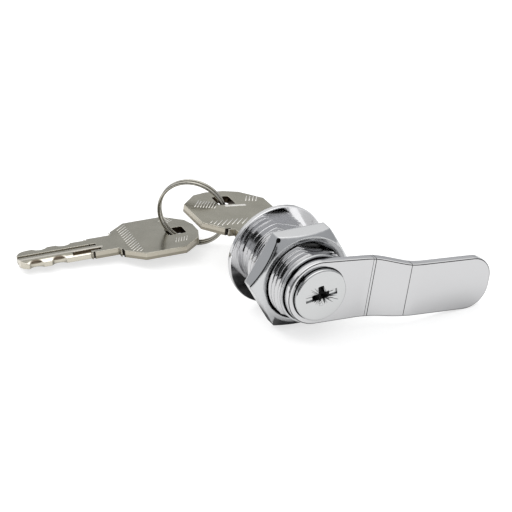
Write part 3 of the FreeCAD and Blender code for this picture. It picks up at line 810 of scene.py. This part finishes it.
# Keys: blanks stamped from 1.9 mm nickel silver strip, milled, tumbled and satin nickel
# plated, with a fine hatch coined on both faces. One stands in the lock and one lies on the
# table. Places are in a key's own frame, X across it and Y from the blade's tip to the bow.
lock_key_place = Matrix.Translation((0, -0.0124, 0)) @ Matrix.Rotation(lock_roll, 4, "Y")
spare_key_place = (
    Matrix.Translation((-0.051972, 0.043546, -0.010593))
    @ Matrix.Rotation(math.radians(-97.1), 4, "Z")
    @ Matrix.Rotation(math.radians(0.3), 4, "X")
    @ Matrix.Rotation(math.radians(-7.2), 4, "Y")
)
key_rounding = 0.00018
plate_face = 0.00095
blade = (0.0, 0.0190)
nicks = ((0.01955, 0.01985), (0.02665, 0.02695))
land = {"X": (0.0012, 0.0021), "Y": (0.0, 0.0225)}
short_groove = {"X": (0.0019, 0.0035), "Y": (0.0143, 0.0220), "Z": (0.0, 0.00055)}
scoops = ((0.0036, 0.00476, 0.0005), (0.0036, 0.01064, 0.0005))
scoop_size = (0.0014, 0.0017, 0.0008)
eye = {"X": (-0.0026, 0.0026), "Y": (0.0398, 0.0450)}
flank_lean, wall_lean = (0.905, 0.965), (0.0, 0.8)
torn_and_shaded_half = (-0.0011, -0.0002)
bar_width, bar_height, bar_rounding = 0.00026, 0.00020, 0.00006
small_bar_width = 0.00020
lip_start, lip_end = (-0.0012, 0.0391), (0.0046, 0.0388)
lip_width, lip_height = 0.0009, 0.00016
bow_edge, band_fade = -0.0104, 0.0052
eye_edge, patch_fade = -0.0029, 0.0027
shortest_bar = 0.15


def key_plate(name, placement):
    """Satin nickel: brighter on the punched walls, lighter on the edges from wear and a painted
    highlight, with painted shade in the eye and scoops, and darker brown in recesses.

    The satin's grit of 0.05 mm is too fine to show and is drawn 0.19 mm wide. Clouds 6 mm
    wide come from handling.
    """
    metal = bpy.data.materials.new(name)
    metal.use_nodes = True
    tree = metal.node_tree
    shader = tree.nodes["Principled BSDF"]
    shader.inputs["Metallic"].default_value = 1.0
    to_key = placement.inverted()
    place = add_node(tree, "ShaderNodeTexCoord").outputs["Object"]
    own = add_node(
        tree,
        "ShaderNodeMapping",
        {"Vector": place, "Location": to_key.translation, "Rotation": to_key.to_euler("XYZ")},
    ).outputs[0]
    grit = add_node(tree, "ShaderNodeTexNoise", {"Vector": own, "Scale": 5200.0, "Detail": 3.0})
    clouds = add_node(tree, "ShaderNodeTexNoise", {"Vector": own, "Scale": 170.0, "Detail": 4.0})
    tone = add_node(tree, "ShaderNodeValToRGB", {"Fac": clouds.outputs["Fac"]})
    tone.color_ramp.elements[0].position = 0.3
    tone.color_ramp.elements[0].color = linear("#979487")
    tone.color_ramp.elements[1].position = 0.75
    tone.color_ramp.elements[1].color = linear("#a5a295")
    gloss = add_node(
        tree,
        "ShaderNodeMapRange",
        {"Value": grit.outputs["Fac"], "To Min": 0.17, "To Max": 0.28},
    )
    tree.links.new(tone.outputs["Color"], shader.inputs["Base Color"])
    tree.links.new(gloss.outputs[0], shader.inputs["Roughness"])

    # The punched walls, which stand across the plate, shine brighter than its faces. Their
    # share is read from how far the surface's normal leans out of the plate.
    facing = add_node(
        tree,
        "ShaderNodeVectorMath",
        {0: riding_normal(tree, to_key.to_euler("XYZ"))},
        operation="ABSOLUTE",
    ).outputs[0]
    wall = add_node(
        tree,
        "ShaderNodeMapRange",
        {
            "Value": add_node(tree, "ShaderNodeSeparateXYZ", {"Vector": facing}).outputs["Z"],
            "From Min": 0.9,
            "From Max": 0.6,
            "To Min": 0.0,
            "To Max": 0.9,
        },
    ).outputs[0]
    recolour(metal, wall, "#bab4a6", 0.26)
    # Pockets and the ring wear the edges bright, within 0.3 mm of each, and the lightening there
    # is also a painted highlight.
    rounded = add_node(tree, "ShaderNodeBevel", {"Radius": 0.00030}, samples=6)
    surface = add_node(tree, "ShaderNodeNewGeometry")
    turned_away = add_node(
        tree,
        "ShaderNodeVectorMath",
        {0: rounded.outputs[0], 1: surface.outputs["Normal"]},
        operation="DOT_PRODUCT",
    )
    wear_and_sheen = add_node(
        tree,
        "ShaderNodeMapRange",
        {
            "Value": turned_away.outputs["Value"],
            "From Min": 0.995,
            "From Max": 0.90,
            "To Min": 0.0,
            "To Max": 0.8,
        },
    )
    recolour(metal, wear_and_sheen.outputs[0], "#ddd9cd", 0.22)
    # The punch leaves the lower half of a wall torn and dull, and its darker grey there is also
    # painted shade. The blade's walls and its sloped flanks are milled, and the lock keeps them
    # bright.
    recolour(metal, inside(tree, own, {"Z": torn_and_shaded_half}, wall), "#958f81", 0.4)
    recolour(metal, inside(tree, own, {"Y": blade}, wall), "#cdc8ba", 0.24)
    flank = inside(tree, facing, {"Z": flank_lean})
    recolour(metal, inside(tree, own, {"Y": blade}, flank), "#e4dfd3", 0.2)
    # The walls at the nicks by the collar and the bow are painted near black.
    for nick in nicks:
        recolour(metal, inside(tree, own, {"Y": nick}, wall), "#2e2922", 0.5)
    # The land beside the long groove is burnished by the lock's wafers.
    recolour(metal, inside(tree, own, land), "#dbd6ca", 0.2)
    # The short groove runs out in the neck, and brown dirt lies in it.
    recolour(metal, inside(tree, own, short_groove), "#8b7c66", 0.35)
    # The milled scoops are darkened brown inside with painted shade.
    for scoop in scoops:
        offset = add_node(tree, "ShaderNodeVectorMath", {0: own, 1: scoop}, operation="SUBTRACT")
        oval = add_node(
            tree, "ShaderNodeVectorMath", {0: offset.outputs[0], 1: scoop_size}, operation="DIVIDE"
        )
        size = add_node(tree, "ShaderNodeVectorMath", {0: oval.outputs[0]}, operation="LENGTH")
        scoop_shade = add_node(
            tree,
            "ShaderNodeMapRange",
            {
                "Value": size.outputs["Value"],
                "From Min": 1.0,
                "From Max": 0.75,
                "To Min": 0.0,
                "To Max": 0.9,
            },
        )
        recolour(metal, scoop_shade.outputs[0], "#5e5040", 0.35)
    # The walls of the eye are painted dark brown: painted shade inside the hole that the ring runs
    # through.
    upright = inside(tree, facing, {"Z": wall_lean})
    recolour(metal, inside(tree, own, eye, upright), "#3b3126", 0.4)
    # What is sheltered within 0.6 mm is darkened to brownish black.
    shelter = add_node(tree, "ShaderNodeAmbientOcclusion", {"Distance": 0.0006}, samples=8)
    sheltered_dark = add_node(
        tree,
        "ShaderNodeMapRange",
        {
            "Value": shelter.outputs["AO"],
            "From Min": 0.85,
            "From Max": 0.4,
            "To Min": 0.0,
            "To Max": 0.9,
        },
    )
    recolour(metal, sheltered_dark.outputs[0], "#3a342a", 0.5)

    pricks = add_node(
        tree,
        "ShaderNodeBump",
        {
            "Height": grit.outputs["Fac"],
            "Normal": rounded.outputs[0],
            "Strength": 0.1,
            "Distance": 0.00001,
        },
    )
    dents = add_node(
        tree,
        "ShaderNodeBump",
        {
            "Height": clouds.outputs["Fac"],
            "Normal": pricks.outputs[0],
            "Strength": 0.3,
            "Distance": 0.00006,
        },
    )
    tree.links.new(dents.outputs[0], shader.inputs["Normal"])
    return metal


def coined_bar(slant, start, end, face, width=bar_width, height=bar_height):
    """One raised bar of the hatch, half sunk in a face of the key, mirrored by a slant of -1."""
    start, end = Vector((slant * start[0], start[1])), Vector((slant * end[0], end[1]))
    run, middle = end - start, (start + end) / 2
    bpy.ops.mesh.primitive_cube_add(size=1.0, location=(*middle, face * plate_face))
    bar = bpy.context.object
    bar.scale = (run.length, width, height)
    bar.rotation_euler = (0, 0, math.atan2(run.y, run.x))
    bpy.ops.object.transform_apply(location=True, rotation=True, scale=True)
    bpy.ops.object.mode_set(mode="EDIT")
    bpy.ops.mesh.select_all(action="SELECT")
    bpy.ops.mesh.bevel(offset=bar_rounding, segments=2, affect="EDGES", clamp_overlap=True)
    bpy.ops.object.mode_set(mode="OBJECT")
    return bar


def coined_row(slant, face, count, first, step, run, edge=None, fade=None, width=bar_width):
    """A row of like bars. Where an edge across the key is near, a bar is shorter."""
    row = []
    for number in range(count):
        foot = (first[0] + number * step[0], first[1] + number * step[1])
        room = 1.0 if edge is None else min(1.0, abs(edge - foot[0]) / fade)
        if room > shortest_bar:
            end = (foot[0] + run[0] * room, foot[1] + run[1] * room)
            row.append(coined_bar(slant, foot, end, face, width))
    return row


def coined_relief(name, placement, slant, body):
    """The hatch of one key: a band across each face of the bow, two patches, and a lip.

    The face with the lip has a close patch beside the eye, and the other a small one.
    """
    bars = []
    for face in (1, -1):
        bars += coined_row(
            slant,
            face,
            count=14,
            first=(0.0098, 0.0314),
            step=(-0.0014, 0),
            run=(-0.0031, -0.0029),
            edge=bow_edge,
            fade=band_fade,
        )
        if face == slant:
            bars += coined_row(
                slant,
                face,
                count=8,
                first=(-0.0094, 0.0399),
                step=(0.00068, -0.00024),
                run=(0.0027, 0.0033),
                edge=eye_edge,
                fade=patch_fade,
            )
        else:
            bars += coined_row(
                slant,
                face,
                count=5,
                first=(-0.0079, 0.0402),
                step=(0, 0.00072),
                run=(0.0029, 0.0011),
                width=small_bar_width,
            )
        bars += coined_row(
            slant,
            face,
            count=4,
            first=(0.0057, 0.0410),
            step=(0.00085, -0.00025),
            run=(0.0017, 0.0028),
        )
    bars.append(coined_bar(slant, lip_start, lip_end, slant, lip_width, lip_height))
    bpy.ops.object.select_all(action="DESELECT")
    for bar in bars:
        bar.select_set(True)
    bpy.context.view_layer.objects.active = bars[0]
    bpy.ops.object.join()
    relief = bars[0]
    relief.name = relief.data.name = name
    relief.matrix_world = placement
    bpy.ops.object.transform_apply(location=True, rotation=True, scale=True)
    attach(relief, body)
    shade(relief, raised_nickel, angle=40)


# Burnished nickel: the raised bars are rubbed almost white, in patches 1.4 mm wide.
raised_nickel = bpy.data.materials.new("burnished_nickel_plate")
raised_nickel.use_nodes = True
tree = raised_nickel.node_tree
shader = tree.nodes["Principled BSDF"]
shader.inputs["Metallic"].default_value = 1.0
place = add_node(tree, "ShaderNodeTexCoord").outputs["Object"]
rubbed = add_node(tree, "ShaderNodeTexNoise", {"Vector": place, "Scale": 700.0, "Detail": 3.0})
tone = add_node(tree, "ShaderNodeValToRGB", {"Fac": rubbed.outputs["Fac"]})
tone.color_ramp.elements[0].position = 0.3
tone.color_ramp.elements[0].color = linear("#e4e1d8")
tone.color_ramp.elements[1].position = 0.6
tone.color_ramp.elements[1].color = linear("#f8f6f0")
tree.links.new(tone.outputs["Color"], shader.inputs["Base Color"])
gloss = add_node(
    tree,
    "ShaderNodeMapRange",
    {"Value": rubbed.outputs["Fac"], "To Min": 0.35, "To Max": 0.2},
)
tree.links.new(gloss.outputs[0], shader.inputs["Roughness"])

for node, body, placement, slant in (
    ("lock_key", "key", lock_key_place, 1),
    ("spare_key", "spare", spare_key_place, -1),
):
    key = welded_copy(node, f"{node}_plated", body)
    round_over(key, key_rounding, lambda point: True, segments=2)
    shade(key, key_plate(f"satin_nickel_plate_{body}", placement))
    coined_relief(f"{node}_hatch", placement, slant, body)

# Split ring: spring steel wire 0.85 mm thick, wound flat in two turns and nickel plated.
# It runs through both keys' eyes.
ring = welded_copy("key_ring", "split_ring_plated", "ring")
# Nickel over drawn wire: smoother than the keys, with marks of the drawing 0.7 mm long.
ring_nickel = bpy.data.materials.new("nickel_plated_spring_wire")
ring_nickel.use_nodes = True
tree = ring_nickel.node_tree
shader = tree.nodes["Principled BSDF"]
shader.inputs["Metallic"].default_value = 1.0
place = add_node(tree, "ShaderNodeTexCoord").outputs["Object"]
drawn = add_node(tree, "ShaderNodeTexNoise", {"Vector": place, "Scale": 1500.0, "Detail": 4.0})
tone = add_node(tree, "ShaderNodeValToRGB", {"Fac": drawn.outputs["Fac"]})
tone.color_ramp.elements[0].position = 0.35
tone.color_ramp.elements[0].color = linear("#a5a299")
tone.color_ramp.elements[1].position = 0.7
tone.color_ramp.elements[1].color = linear("#bab7ad")
tree.links.new(tone.outputs["Color"], shader.inputs["Base Color"])
gloss = add_node(
    tree,
    "ShaderNodeMapRange",
    {"Value": drawn.outputs["Fac"], "To Min": 0.10, "To Max": 0.16},
)
tree.links.new(gloss.outputs[0], shader.inputs["Roughness"])
shade(ring, ring_nickel, angle=40)
